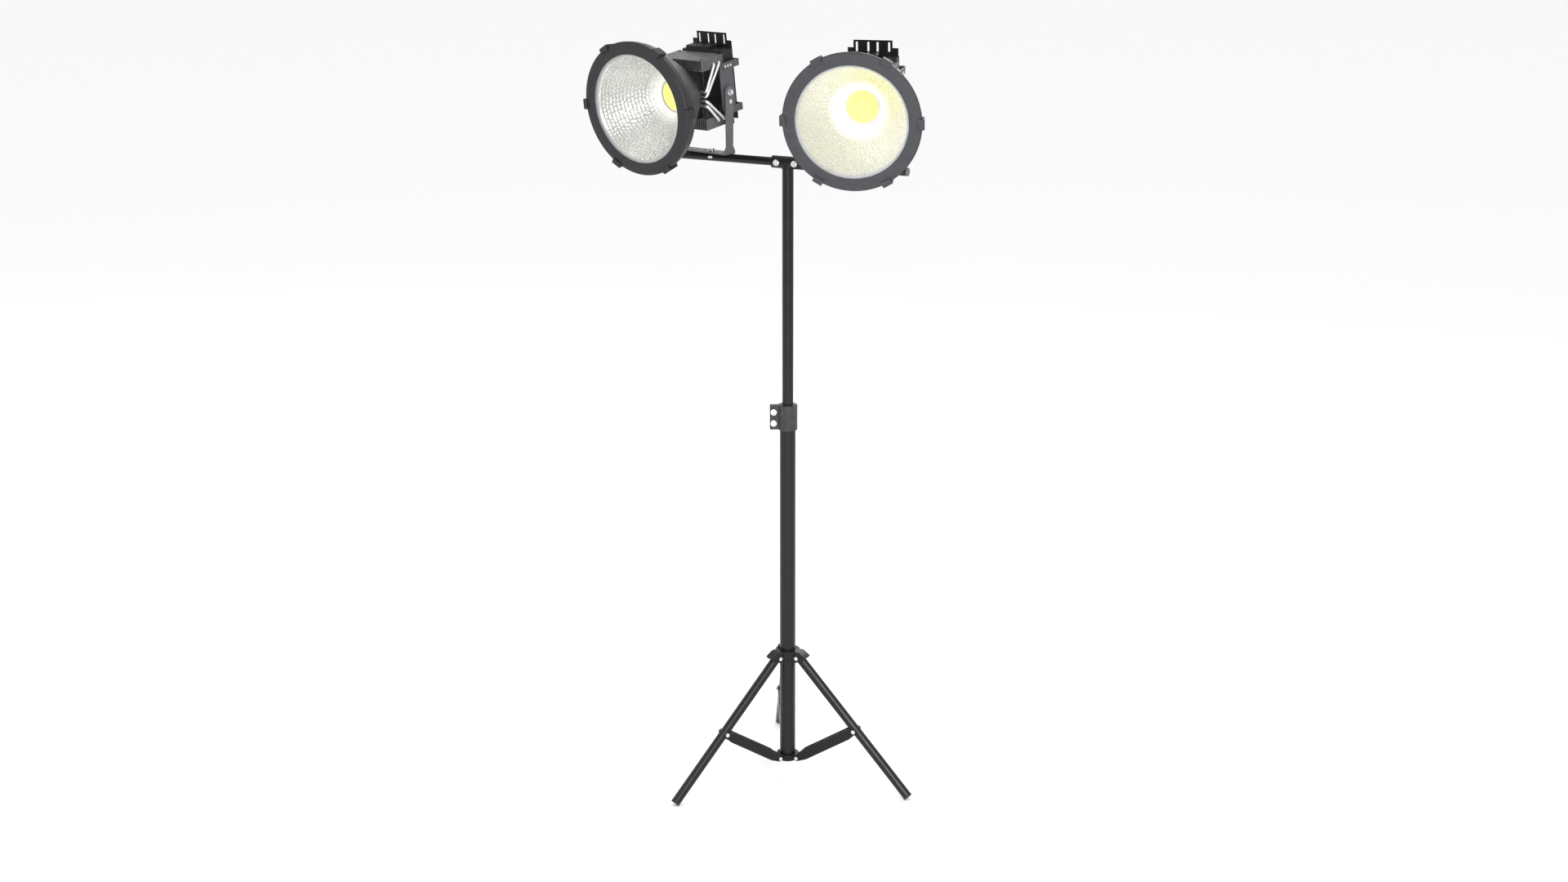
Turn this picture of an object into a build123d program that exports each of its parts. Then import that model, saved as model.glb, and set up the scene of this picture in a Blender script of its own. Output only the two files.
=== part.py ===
from build123d import *
import os
from math import cos, radians, sin

# Twin floodlight on a telescopic tripod. Millimetres, +Z up, floor at z = 0.
# The mast stands on the Z axis, the crossbar lies along X and the lamps face -Y.

# Driving dimensions
COLUMN_R, COLUMN_WALL = 22.3, 1.8
COLUMN_BOTTOM, COLUMN_TOP = 52.0, 1106.0
MAST_R, MAST_WALL = 15.5, 2.0
MAST_BOTTOM, MAST_TOP = 874.0, 1777.0
BAR_Z, BAR_R, BAR_WALL, BAR_HALF = 1794.0, 11.5, 1.6, 350.0
LEG_R, LEG_WALL, LEG_SLOPE = 13.0, 1.5, 46.6
LEG_ANGLES = (0, 120, 240)
HUB_PIVOT_R, HUB_PIVOT_Z = 36.0, 373.1
LOW_PIVOT_R, LOW_PIVOT_Z = 36.5, 63.5
BRACE_ALONG_LEG = 264.0
CHEEK_IN, CHEEK = 13.1, 2.4
CAP_R, CAP_END, CAP_LONG, FACET_DEPTH = 13.0, 6.0, 30.0, 2.5
PIN_R, M8_R, FIT = 3.0, 4.0, 0.05
COLLAR_BOTTOM, COLLAR_TOP, COLLAR_R, COLLAR_TURN = 1047.0, 1118.0, 27.0, 210
YOKE_GAP, YOKE_HALF, YOKE_T, PIVOT_Z = 0.3, 86.0, 4.0, 1975.0
ARM_TOP_W, ARM_LOW_W, BASE_W = 33.0, 28.0, 44.0

# Each lamp: the X of the bolt it swivels on, the lamp's centre beyond that bolt,
# how far it is turned about Z and how far its front is tilted down
LAMPS = {"left": (-231.5, -26.0, -12.0, 7.5), "right": (213.2, 26.0, 14.7, 6.8)}

# Lamp head, measured back from the front of its ring and up from its optical axis
PIVOT_BACK, PIVOT_UP = 282.0, -12.0
GLASS_R, RING_R, RING_DEEP, HOUSING_BACK = 146.0, 180.0, 24.0, 170.0
COB_R, BOARD_R = 42.5, 58.0
CORE_HALF, CORE_BACK = 48.0, 211.0
SINK_FRONT, SINK_BACK, SINK_TOP, SINK_BOTTOM = 191.0, 281.0, 92.0, -98.0
STACK_H, FIN_T, FIN_COUNT, FIN_PITCH = 30.0, 1.0, 21, 7.6
BAND_COUNT, BAND_GAP = 4, 1.6
PIPE_R, PIPE_SIDE = 4.0, 81.0
SIDE_IN, SIDE_T, STRAP_T = 80.3, 2.5, 2.5
PLATE_Y, PLATE_T = 332.0, 2.5
STRAP_UP, STRAP_DOWN, STRAP_H = 59.5, -62.5, 19.0

STAND = (Align.CENTER, Align.CENTER, Align.MIN)


# Shapes
def rod(start, end, radius):
    """A round bar between two points."""
    line = Vector(*end) - Vector(*start)
    return Plane(origin=start, z_dir=line) * Cylinder(radius, line.length, align=STAND)


def tube(outer, inner, bottom, top):
    """An upright tube on the Z axis."""
    return rod((0, 0, bottom), (0, 0, top), outer) - rod((0, 0, bottom - 1), (0, 0, top + 1), inner)


def bar_tube(outer, inner, start, end):
    """A tube along X."""
    return rod((start, 0, 0), (end, 0, 0), outer) - rod((start - 1, 0, 0), (end + 1, 0, 0), inner)


def hexagon(across, height):
    """A hexagon bolt head or nut standing on the XY plane."""
    head = extrude(RegularPolygon(across / 2, 6, major_radius=False), height)
    return head & Cylinder(across * 0.56, height, align=STAND)


def block(x, y, z):
    """A box between pairs of limits along X, Y and Z."""
    size = Box(x[1] - x[0], y[1] - y[0], z[1] - z[0])
    return Pos((x[0] + x[1]) / 2, (y[0] + y[1]) / 2, (z[0] + z[1]) / 2) * size


def side_plate(points, start, thickness):
    """A plate outlined in Y and Z, from x = start to x = start + thickness."""
    return extrude(Plane.YZ.offset(start) * make_face(Polyline(*points, close=True)), thickness)


def front_plate(points, start, thickness):
    """A plate outlined in X and Z, from y = start to y = start + thickness."""
    return extrude(Plane.XZ.offset(-start) * make_face(Polyline(*points, close=True)), -thickness)


def turned(points):
    """A ring or bowl about the Y axis, outlined in radius and distance back."""
    profile = Plane.XY * make_face(Polyline(*points, close=True))
    return revolve(profile, Axis.Y)


def group(solids):
    """Separate solids kept together in one node."""
    return Compound(children=[part for solid in solids for part in solid.solids()])


def cross_bolt(start, end, radius, across, head, washer=0.0):
    """A bolt from head to nut along the line start-end, which spans what it clamps."""
    line = Vector(*end) - Vector(*start)
    place = Plane(origin=start, z_dir=line)
    shank = Cylinder(radius, line.length, align=STAND)
    lower = Pos(0, 0, -washer) * Rot(180, 0, 0) * hexagon(across, head)
    upper = Pos(0, 0, line.length + washer) * hexagon(across, head)
    bolt = shank + lower + upper
    if washer:
        disc = Cylinder(across * 0.66, washer, align=STAND)
        bolt += Pos(0, 0, -washer) * disc + Pos(0, 0, line.length) * disc
    return place * bolt


# Stand
def around(angle):
    """Turns a part from the +X leg plane to another leg plane."""
    return Rot(0, 0, angle)


def along_leg(distance):
    """The point on a leg's centreline at a distance from its hub pin, as radius and height."""
    reach = HUB_PIVOT_R + distance * cos(radians(LEG_SLOPE))
    return reach, HUB_PIVOT_Z - distance * sin(radians(LEG_SLOPE))


LEG_DROP = HUB_PIVOT_Z + FACET_DEPTH - CAP_R * cos(radians(LEG_SLOPE))
LEG_LONG = LEG_DROP / sin(radians(LEG_SLOPE)) - CAP_END
LEG_PLANE = Plane(
    origin=(HUB_PIVOT_R, 0, HUB_PIVOT_Z),
    x_dir=(0, 1, 0),
    z_dir=(cos(radians(LEG_SLOPE)), 0, -sin(radians(LEG_SLOPE))),
)


def leg_tube():
    """A leg with a rounded top end, pinned between the hub's cheeks."""
    body = Pos(0, 0, -LEG_R) * Cylinder(LEG_R, LEG_LONG + LEG_R, align=STAND)
    round_end = Rot(0, 90, 0) * Cylinder(LEG_R, 4 * LEG_R)
    keep = block((-50, 50), (-50, 50), (0, LEG_LONG)) + round_end
    bore = Pos(0, 0, -LEG_R) * Cylinder(LEG_R - LEG_WALL, LEG_LONG + LEG_R, align=STAND)
    pin_hole = Rot(0, 90, 0) * Cylinder(PIN_R + FIT, 4 * LEG_R)
    return LEG_PLANE * ((body & keep) - bore - pin_hole)


def foot_cap():
    """A rubber plug in the leg's end, with a lid worn to a level facet where it stands."""
    stem = Pos(0, 0, LEG_LONG + CAP_END - CAP_LONG) * Cylinder(LEG_R - LEG_WALL, CAP_LONG, align=STAND)
    lid = Pos(0, 0, LEG_LONG) * Cylinder(CAP_R, CAP_END, align=STAND)
    floor = block((200, 500), (-50, 50), (-50, 0))
    return LEG_PLANE * (stem + lid) - floor


def brace_pair():
    """Two flat strips with bolt ends, one on each side of a leg."""
    outer_r, outer_z = along_leg(BRACE_ALONG_LEG)
    line = Vector(outer_r - LOW_PIVOT_R, 0, outer_z - LOW_PIVOT_Z)
    long, end_r, middle, taper = line.length, 9.0, 14.5, 26.0
    outline = Polyline(
        (0, -end_r), (taper, -middle), (long - taper, -middle), (long, -end_r),
        (long, end_r), (long - taper, middle), (taper, middle), (0, end_r), close=True,
    )
    strip = make_face(outline) + Circle(end_r) + Pos(long, 0) * Circle(end_r)
    strip = extrude(strip - Circle(PIN_R + FIT) - Pos(long, 0) * Circle(PIN_R), CHEEK)
    plane = Plane(origin=(LOW_PIVOT_R, 0, LOW_PIVOT_Z), x_dir=line, z_dir=(0, 1, 0))
    solids = []
    for side in (1, -1):
        offset = CHEEK_IN if side > 0 else -CHEEK_IN - CHEEK
        solids.append(plane * (Pos(0, 0, offset) * strip))
        face = Plane(origin=(outer_r, side * CHEEK_IN, outer_z), z_dir=(0, side, 0))
        stub = Cylinder(PIN_R, CHEEK, align=STAND) + Pos(0, 0, CHEEK) * hexagon(11, 5)
        solids.append(face * stub)
    return group(solids)


def hub_pin(radius, height):
    """A tangential pin with a head at each end, through a pair of cheeks."""
    reach = CHEEK_IN + CHEEK
    return cross_bolt((radius, -reach, height), (radius, reach, height), PIN_R, 10, 4)


def lower_hub():
    """The ring at the foot of the column, with an ear for each pair of braces."""
    bottom, top, flange_r, ear_r = COLUMN_BOTTOM, COLUMN_BOTTOM + 18.5, 31.5, 9.0
    sleeve = tube(26.4, COLUMN_R + FIT, bottom, top) + tube(flange_r, 24.0, top - 4, top)
    slot = block((23.6, 60), (CHEEK_IN - 0.4, CHEEK_IN + CHEEK + 0.6), (bottom, top + 1))
    ear = block((24, LOW_PIVOT_R), (-12.4, 12.4), (LOW_PIVOT_Z - ear_r, LOW_PIVOT_Z + ear_r))
    ear += rod((LOW_PIVOT_R, -12.4, LOW_PIVOT_Z), (LOW_PIVOT_R, 12.4, LOW_PIVOT_Z), ear_r)
    ear -= rod((LOW_PIVOT_R, -20, LOW_PIVOT_Z), (LOW_PIVOT_R, 20, LOW_PIVOT_Z), PIN_R)
    for angle in LEG_ANGLES:
        sleeve -= around(angle) * (slot + mirror(slot, Plane.XZ))
        sleeve += around(angle) * ear
    return sleeve - rod((0, 0, 40), (0, 0, 100), COLUMN_R + FIT)


HUB_TOP, HUB_BOTTOM, HUB_BORE = HUB_PIVOT_Z + 19.0, HUB_PIVOT_Z - 18.1, COLUMN_R + 0.3
KNOB_Z, KNOB_TURN, BOSS_TURN = HUB_TOP + 17.0, 117, 178


def leg_hub():
    """The sliding pressed hub: a flared sleeve and three channels that hold the legs."""
    top, bottom, skin = HUB_TOP, HUB_BOTTOM, HUB_BORE + 3.6
    sleeve = rod((0, 0, bottom), (0, 0, top), skin)
    flare = [(HUB_BORE, top - 30), (35, top - 6), (35, top), (HUB_BORE, top)]
    sleeve += revolve(Plane.XZ * make_face(Polyline(*flare, close=True)), Axis.Z)
    outline = Polyline((23, top), (43, top), (64, top - 15), (58, top - 23), (24, bottom), close=True)
    inner = Polyline(
        (20, top - CHEEK), (42, top - CHEEK), (73, top - CHEEK - 22), (73, bottom - 5),
        (20, bottom - 5), close=True,
    )
    half = CHEEK_IN + CHEEK
    channel = extrude(Plane.XZ.offset(-half) * make_face(outline), 2 * half)
    hollow = extrude(Plane.XZ.offset(-CHEEK_IN) * make_face(inner), 2 * CHEEK_IN)
    hole = rod((HUB_PIVOT_R, -20, HUB_PIVOT_Z), (HUB_PIVOT_R, 20, HUB_PIVOT_Z), PIN_R)
    tab = block((HUB_BORE + 1, HUB_BORE + 4.6), (-11, 11), (top - 4, KNOB_Z + 13))
    seat = rod((HUB_BORE + 4, 0, KNOB_Z), (HUB_BORE + 9, 0, KNOB_Z), 8.5)
    boss = rod((HUB_BORE, 0, top + 3.5), (HUB_BORE + 6.5, 0, top + 3.5), 5.5)
    hub = sleeve + around(KNOB_TURN) * (tab + seat) + around(BOSS_TURN) * boss
    for angle in LEG_ANGLES:
        hub += around(angle) * channel
    for angle in LEG_ANGLES:
        hub -= around(angle) * (hollow + hole)
    hub -= around(KNOB_TURN) * rod((HUB_BORE, 0, KNOB_Z), (HUB_BORE + 12, 0, KNOB_Z), M8_R + FIT)
    return hub - rod((0, 0, bottom - 9), (0, 0, top + 60), HUB_BORE)


def hub_lock_knob():
    """A thumb screw that clamps the hub on the column."""
    tip, grip = HUB_BORE + 0.1, HUB_BORE + 9.5
    knob = rod((tip, 0, KNOB_Z), (grip + 18, 0, KNOB_Z), M8_R)
    knob += rod((grip, 0, KNOB_Z), (grip + 4, 0, KNOB_Z), 8)
    head = rod((grip + 4, 0, KNOB_Z), (grip + 18, 0, KNOB_Z), 14)
    for turn in range(0, 360, 60):
        lobe = Pos(grip + 3, 0, KNOB_Z) * Rot(turn, 0, 0) * Pos(0, 16.5, 0)
        head -= lobe * (Rot(0, 90, 0) * Cylinder(4.5, 16, align=STAND))
    return around(KNOB_TURN) * (knob + head)


EAR_R, EAR_GAP, EAR_T = 40.0, 1.5, 6.0
COLLAR_BOLTS = (COLLAR_BOTTOM + 19.0, COLLAR_TOP - 20.0)


def clamp_collar():
    """The split collar that grips the mast at the top of the column."""
    collar = tube(COLLAR_R, COLUMN_R + FIT, COLLAR_BOTTOM, COLLAR_TOP)
    ears = block((23, 50), (-EAR_GAP - EAR_T, EAR_GAP + EAR_T), (COLLAR_BOTTOM + 1, COLLAR_TOP))
    collar += ears
    collar -= block((15, 60), (-EAR_GAP, EAR_GAP), (COLLAR_BOTTOM - 1, COLLAR_TOP + 1))
    collar -= rod((0, 0, COLLAR_BOTTOM - 1), (0, 0, COLLAR_TOP + 1), COLUMN_R + FIT)
    for z in COLLAR_BOLTS:
        collar -= rod((EAR_R, -10, z), (EAR_R, 10, z), M8_R + FIT)
    return around(COLLAR_TURN) * collar


def collar_bolts():
    """Two bolts across the collar's ears."""
    reach = EAR_GAP + EAR_T
    bolts = [cross_bolt((EAR_R, -reach, z), (EAR_R, reach, z), M8_R, 13, 5.5, 1.5) for z in COLLAR_BOLTS]
    return group([around(COLLAR_TURN) * bolt for bolt in bolts])


def mast_bush():
    """The plastic bush in the mouth of the column, with a flange on the collar."""
    bore = MAST_R + 0.1
    bush = tube(COLUMN_R - COLUMN_WALL, bore, COLUMN_TOP - 27, COLUMN_TOP)
    bush += tube(COLUMN_R, bore, COLUMN_TOP, COLLAR_TOP)
    return bush + tube(COLLAR_R - 3, bore, COLLAR_TOP, COLLAR_TOP + 1.2)


def mast_guide():
    """The slider that keeps the foot of the mast central in the column."""
    return tube(COLUMN_R - COLUMN_WALL - 0.1, MAST_R + FIT, MAST_BOTTOM + 4, MAST_BOTTOM + 54)


T_HALF, T_R, T_BOLT = 45.0, 17.0, 27.0


def t_joint():
    """The T socket that joins the mast and the two halves of the crossbar."""
    socket = Pos(0, 0, BAR_Z) * rod((-T_HALF, 0, 0), (T_HALF, 0, 0), T_R)
    socket += rod((0, 0, MAST_TOP), (0, 0, BAR_Z), T_R)
    socket += rod((0, 0, MAST_TOP - 45), (0, 0, BAR_Z), MAST_R - MAST_WALL - FIT)
    socket -= Pos(0, 0, BAR_Z) * rod((-T_HALF - 1, 0, 0), (T_HALF + 1, 0, 0), BAR_R + FIT)
    for x in (-T_BOLT, T_BOLT):
        socket -= rod((x, -20, BAR_Z), (x, 20, BAR_Z), M8_R + FIT)
    return socket


def t_joint_bolts():
    """Two bolts through the T socket, one through each half of the crossbar."""
    reach = T_R + 0.1
    ends = [((x, -reach, BAR_Z), (x, reach, BAR_Z)) for x in (-T_BOLT, T_BOLT)]
    return group([cross_bolt(start, end, M8_R, 13, 5.5, 1.5) for start, end in ends])


NUT_W, NUT_H, NUT_HALF = 14.0, 6.5, 12.3


def oval_nut(x, clearance):
    """An oval bar through the crossbar, front to back, at a lamp's bolt."""
    end, half_w = NUT_H / 2 + clearance, (NUT_W - NUT_H) / 2
    nut = block((x - half_w, x + half_w), (-NUT_HALF, NUT_HALF), (BAR_Z - end, BAR_Z + end))
    for edge in (x - half_w, x + half_w):
        nut += rod((edge, -NUT_HALF, BAR_Z), (edge, NUT_HALF, BAR_Z), end)
    return nut


def crossbar():
    """Two half bars that meet in the T socket."""
    halves = []
    for side, (x, *_) in zip((-1, 1), LAMPS.values()):
        inner, outer = sorted((side * 0.6, side * BAR_HALF))
        half = Pos(0, 0, BAR_Z) * bar_tube(BAR_R, BAR_R - BAR_WALL, inner, outer)
        half -= rod((side * T_BOLT, -20, BAR_Z), (side * T_BOLT, 20, BAR_Z), M8_R + FIT)
        half -= rod((x, 0, BAR_Z), (x, 0, BAR_Z + 20), M8_R + FIT)
        halves.append(half - oval_nut(x, FIT))
    return group(halves)


def bar_caps():
    """Plugs in the free ends of the crossbar."""
    caps = []
    for side in (-1, 1):
        plug = rod((side * (BAR_HALF - 15), 0, BAR_Z), (side * BAR_HALF, 0, BAR_Z), BAR_R - BAR_WALL)
        lid = rod((side * BAR_HALF, 0, BAR_Z), (side * (BAR_HALF + 3), 0, BAR_Z), BAR_R)
        caps.append(plug + lid)
    return group(caps)


BASE_BOTTOM = BAR_Z + BAR_R + YOKE_GAP
BASE_TOP = BASE_BOTTOM + YOKE_T


def yoke_bolts():
    """The upright bolt that each lamp swivels on, with its oval nut across the bar."""
    solids = []
    for x, *_ in LAMPS.values():
        bolt = rod((x, 0, BAR_Z - 3), (x, 0, BASE_TOP + YOKE_GAP), M8_R)
        bolt += rod((x, 0, BASE_TOP + YOKE_GAP), (x, 0, BASE_TOP + YOKE_GAP + 1.6), 9)
        bolt += Pos(x, 0, BASE_TOP + YOKE_GAP + 1.6) * hexagon(13, 5.5)
        solids += [bolt, oval_nut(x, 0) - rod((x, 0, BAR_Z - 3), (x, 0, BAR_Z + 9), M8_R)]
    return group(solids)


# Lamp yoke, built about the lamp's own centre at the height of the real one
def on_bar(label):
    """Places a lamp centred on the Z axis onto its bolt, turned outward."""
    x, beyond, yaw, _ = LAMPS[label]
    return Pos(x, 0, 0) * Rot(0, 0, yaw) * Pos(beyond, 0, 0)


def yoke(label):
    """The bent strap that carries a lamp by its two sides."""
    outer = YOKE_HALF + YOKE_T
    base = block((-outer, outer), (-BASE_W / 2, BASE_W / 2), (BASE_BOTTOM, BASE_TOP))
    broad, narrow, wide, low = ARM_TOP_W / 2, ARM_LOW_W / 2, BASE_W / 2, BASE_BOTTOM
    outline = [(-wide, low), (wide, low), (wide, low + 9), (narrow, low + 22)]
    outline += [(broad, PIVOT_Z), (-broad, PIVOT_Z), (-narrow, low + 22), (-wide, low + 9)]
    arm = side_plate(outline, YOKE_HALF, YOKE_T)
    arm += rod((YOKE_HALF, 0, PIVOT_Z), (outer, 0, PIVOT_Z), broad)
    strap = base + arm + mirror(arm, Plane.YZ)
    strap -= rod((-outer - 1, 0, PIVOT_Z), (outer + 1, 0, PIVOT_Z), M8_R + FIT)
    strap -= rod((-outer - 1, 0, PIVOT_Z - 25), (outer + 1, 0, PIVOT_Z - 25), 2.5)
    for x in (-26, 0, 26):
        strap -= rod((x, 0, BASE_BOTTOM - 1), (x, 0, BASE_TOP + 1), M8_R + FIT)
    return on_bar(label) * strap


def tilt_lock_screws(label):
    """The small screw in each arm that pins the tilt."""
    screw = rod((SIDE_IN + SIDE_T + 0.4, 0, PIVOT_Z - 25), (YOKE_HALF + YOKE_T, 0, PIVOT_Z - 25), 2.5)
    outer = YOKE_HALF + YOKE_T
    screw += rod((outer, 0, PIVOT_Z - 25), (outer + 3.2, 0, PIVOT_Z - 25), 5.8)
    return group([on_bar(label) * screw, on_bar(label) * mirror(screw, Plane.YZ)])


# Lamp head, built with its ring's front on y = 0 and its optical axis on Y
def on_yoke(label):
    """Places a lamp head on its yoke's pivot, tilted down at the front."""
    tilt = LAMPS[label][3]
    pivot = Pos(0, 0, PIVOT_Z) * Rot(tilt, 0, 0) * Pos(0, -PIVOT_BACK, -PIVOT_UP)
    return on_bar(label) * pivot


def bezel():
    """The front ring with its skirt."""
    return turned([
        (GLASS_R, 0), (RING_R - 4, 0.8), (RING_R, 5), (RING_R - 4, RING_DEEP), (RING_R - 6.4, RING_DEEP),
        (RING_R - 2.6, 6.2), (RING_R - 5, 3.2), (GLASS_R, 2),
    ])


def bezel_clips():
    """Six clips that hook over the ring's edge and the housing's lip."""
    points = [(-3.8, RING_R - 10), (-3.8, RING_R + 3), (0.5, RING_R + 6), (32, RING_R + 1.5)]
    points += [(32, RING_R - 6.4), (24, RING_R - 3.2), (5.2, RING_R + 0.8)]
    points += [(-0.3, RING_R - 3.8), (-0.3, RING_R - 10)]
    clip = side_plate(points, -13.5, 27)
    solids = [Rot(0, turn, 0) * clip for turn in range(30, 390, 60)]
    return group(solids)


def lens():
    """The clear cover glass."""
    return rod((0, 3.4, 0), (0, 7.4, 0), RING_R - 8)


def gasket():
    """The pale seal between the glass and the reflector's flange."""
    return turned([(GLASS_R - 6, 7.5), (RING_R - 8, 7.5), (RING_R - 8, 10.5), (GLASS_R - 6, 10.5)])


def bowl_radius(back, mouth, apex):
    """Radius of a parabolic bowl at a distance back from the front."""
    return mouth * ((apex - back) / (apex - 12.0)) ** 0.5


def reflector():
    """The deep parabolic reflector with a flat flange."""
    wall, mouth, apex, floor = 1.2, GLASS_R - 5, 178.0, 160.0
    steps = [12 + (floor - 12) * i / 12 for i in range(13)]
    inner = [(bowl_radius(y, mouth, apex), y) for y in steps]
    outer = [(r + wall, y + wall * 0.5) for r, y in reversed(inner)]
    flange = [(mouth + wall, 12.6), (RING_R - 9, 12.6), (RING_R - 9, 10.7), (mouth, 10.7)]
    return turned(inner + outer[:-1] + flange)


def housing():
    """The outer shell: a lip under the ring, a short drum and a cone back to the heat sink."""
    wall, neck, lip = 2.0, 82.0, RING_DEEP + 0.3
    outer = [(RING_R - 4, lip), (RING_R - 8, 34), (RING_R - 12, 46), (RING_R - 25, 62), (neck, HOUSING_BACK)]
    inner = [(BOARD_R + 0.5, HOUSING_BACK), (BOARD_R + 0.5, HOUSING_BACK - wall)]
    inner += [(neck - 1, HOUSING_BACK - wall), (RING_R - 27.2, 61)]
    inner += [(RING_R - 14.4, 45.2), (RING_R - 10.2, 33.6), (RING_R - 6.3, lip)]
    return turned(outer + inner)


def led_board():
    """The round light source: a metal board with a domed phosphor disc."""
    board = rod((0, 164, 0), (0, HOUSING_BACK - 2.2, 0), BOARD_R)
    disc = rod((0, 162.2, 0), (0, 164, 0), COB_R)
    stem = rod((0, HOUSING_BACK - 2.2, 0), (0, HOUSING_BACK, 0), BOARD_R)
    return board + disc + stem


def pipe_routes():
    """Centrelines of the four heat pipes on the +X side."""
    in_core, in_fins = 30.0, 12.0
    routes = []
    for start_z, end_y, end_z in ((7, 240, 75), (-6, 262, 75), (-18, 262, -82), (-31, 240, -82)):
        routes.append([
            (in_core, 196, start_z), (PIPE_SIDE, 196, start_z),
            (PIPE_SIDE, end_y, end_z), (in_fins, end_y, end_z),
        ])
    return routes


def pipe(points, radius):
    """A round pipe through points, with a ball at each bend."""
    solid = rod(points[0], points[1], radius)
    for start, end in zip(points[1:], points[2:]):
        solid += Pos(*start) * Sphere(radius)
        solid += rod(start, end, radius)
    return solid


def pipes(radius):
    """All eight heat pipes at a given radius."""
    right = [pipe(route, radius) for route in pipe_routes()]
    return right + [mirror(solid, Plane.YZ) for solid in right]


def heat_pipes():
    return group(pipes(PIPE_R))


TIE_X, TIE_FRONT, TIE_BACK, TIE_R = 68.4, SINK_FRONT + 12, SINK_BACK - 8, 3.0


def tie_points():
    """The four corners where a tie bolt runs down through both fin stacks."""
    return [(x, y) for x in (-TIE_X, TIE_X) for y in (TIE_FRONT, TIE_BACK)]


def heat_core():
    """The solid block behind the light source that the pipes start in."""
    core = block((-CORE_HALF, CORE_HALF), (HOUSING_BACK, CORE_BACK), (SINK_BOTTOM + STACK_H, SINK_TOP - STACK_H))
    for route in pipe_routes():
        start, bend = route[0], route[1]
        core -= rod(start, bend, PIPE_R) + mirror(rod(start, bend, PIPE_R), Plane.YZ)
    return core


def fin_stack(bottom, top, skin_bottom, skin_top):
    """Upright fins side by side, joined by bands of folded edge on the outer side."""
    half = FIN_PITCH * (FIN_COUNT - 1) / 2 + FIN_T / 2
    band = (SINK_BACK - SINK_FRONT) / BAND_COUNT
    stack = Part()
    for i in range(BAND_COUNT):
        front = SINK_FRONT + i * band
        stack += block((-half, half), (front + BAND_GAP / 2, front + band - BAND_GAP / 2), (skin_bottom, skin_top))
    for i in range(FIN_COUNT):
        x = (i - (FIN_COUNT - 1) / 2) * FIN_PITCH
        stack += block((x - FIN_T / 2, x + FIN_T / 2), (SINK_FRONT, SINK_BACK), (bottom, top))
    return stack


def fin_stacks():
    """The upper and lower fin stacks, pierced by the pipes and the tie bolts."""
    upper = fin_stack(SINK_TOP - STACK_H, SINK_TOP, SINK_TOP - 1.2, SINK_TOP)
    lower = fin_stack(SINK_BOTTOM, SINK_BOTTOM + STACK_H, SINK_BOTTOM, SINK_BOTTOM + 1.2)
    for x, y in tie_points():
        hole = rod((x, y, -200), (x, y, 200), TIE_R)
        upper -= hole
        lower -= hole
    for route in pipe_routes():
        _, y, z = route[-1]
        hole = rod((-100, y, z), (100, y, z), PIPE_R)
        upper -= hole
        lower -= hole
    return group([upper, lower])


def side_outline(low, high):
    return [(266, low), (257, low + 20), (257, high - 20), (266, high), (312, high), (312, low)]


def rear_frame():
    """Two side plates that hang on the yoke, and the two straps around the rear plate."""
    low, high = STRAP_DOWN - STRAP_H / 2, STRAP_UP + STRAP_H / 2
    side = side_plate(side_outline(low, high), SIDE_IN, SIDE_T)
    back = PLATE_Y + PLATE_T + 0.1
    for z in (STRAP_UP, STRAP_DOWN):
        limits = (z - STRAP_H / 2, z + STRAP_H / 2)
        outer = SIDE_IN + SIDE_T + STRAP_T
        side += block((outer - STRAP_T, outer), (270, back + STRAP_T), limits)
        side += block((0, outer), (back, back + STRAP_T), limits)
    frame = side + mirror(side, Plane.YZ)
    return frame - rod((-99, PIVOT_BACK, PIVOT_UP), (99, PIVOT_BACK, PIVOT_UP), M8_R)


def rear_plate():
    """The stepped and slotted plate behind the heat sink."""
    narrow, wide = 52.0, 67.6
    half = [(0, 136), (narrow, 136), (narrow, 116), (wide, 116), (wide, -98), (narrow, -98), (narrow, -114)]
    outline = half + [(-x, z) for x, z in reversed(half[1:])] + [(0, 136)]
    plate = front_plate(outline[:-1], PLATE_Y, PLATE_T)
    for x in (-43, -12.3, 12.3, 43):
        plate -= block((x - 2.7, x + 2.7), (PLATE_Y - 1, PLATE_Y + 9), (106, 131))
    return plate


def driver_box():
    """The sealed driver in front of the rear plate, with a terminal hump and a cable gland."""
    body = block((-70, 70), (287, PLATE_Y - 0.1), (-48, 96))
    hump = block((-58, 20), (290, 326), (96, 105))
    gland = rod((25, 308, -48), (25, 308, -56), 11) + rod((25, 308, -56), (25, 308, -72), 8)
    gland -= rod((25, 308, -80), (25, 308, -60), 4)
    return group([body + hump, gland])


def pivot_bolts():
    """The bolt on each side that the head tilts on."""
    inner, outer = SIDE_IN - 6.5, YOKE_HALF + YOKE_T + 0.3
    bolt = rod((inner, PIVOT_BACK, PIVOT_UP), (outer + 1.5, PIVOT_BACK, PIVOT_UP), M8_R)
    place = Pos(0, PIVOT_BACK, PIVOT_UP) * Rot(0, 90, 0)
    bolt += Pos(inner, 0, 0) * place * hexagon(13, 6.4)
    bolt += rod((outer, PIVOT_BACK, PIVOT_UP), (outer + 1.5, PIVOT_BACK, PIVOT_UP), 8.5)
    bolt += Pos(outer + 1.5, 0, 0) * place * hexagon(13, 5.5)
    return group([bolt, mirror(bolt, Plane.YZ)])


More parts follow.
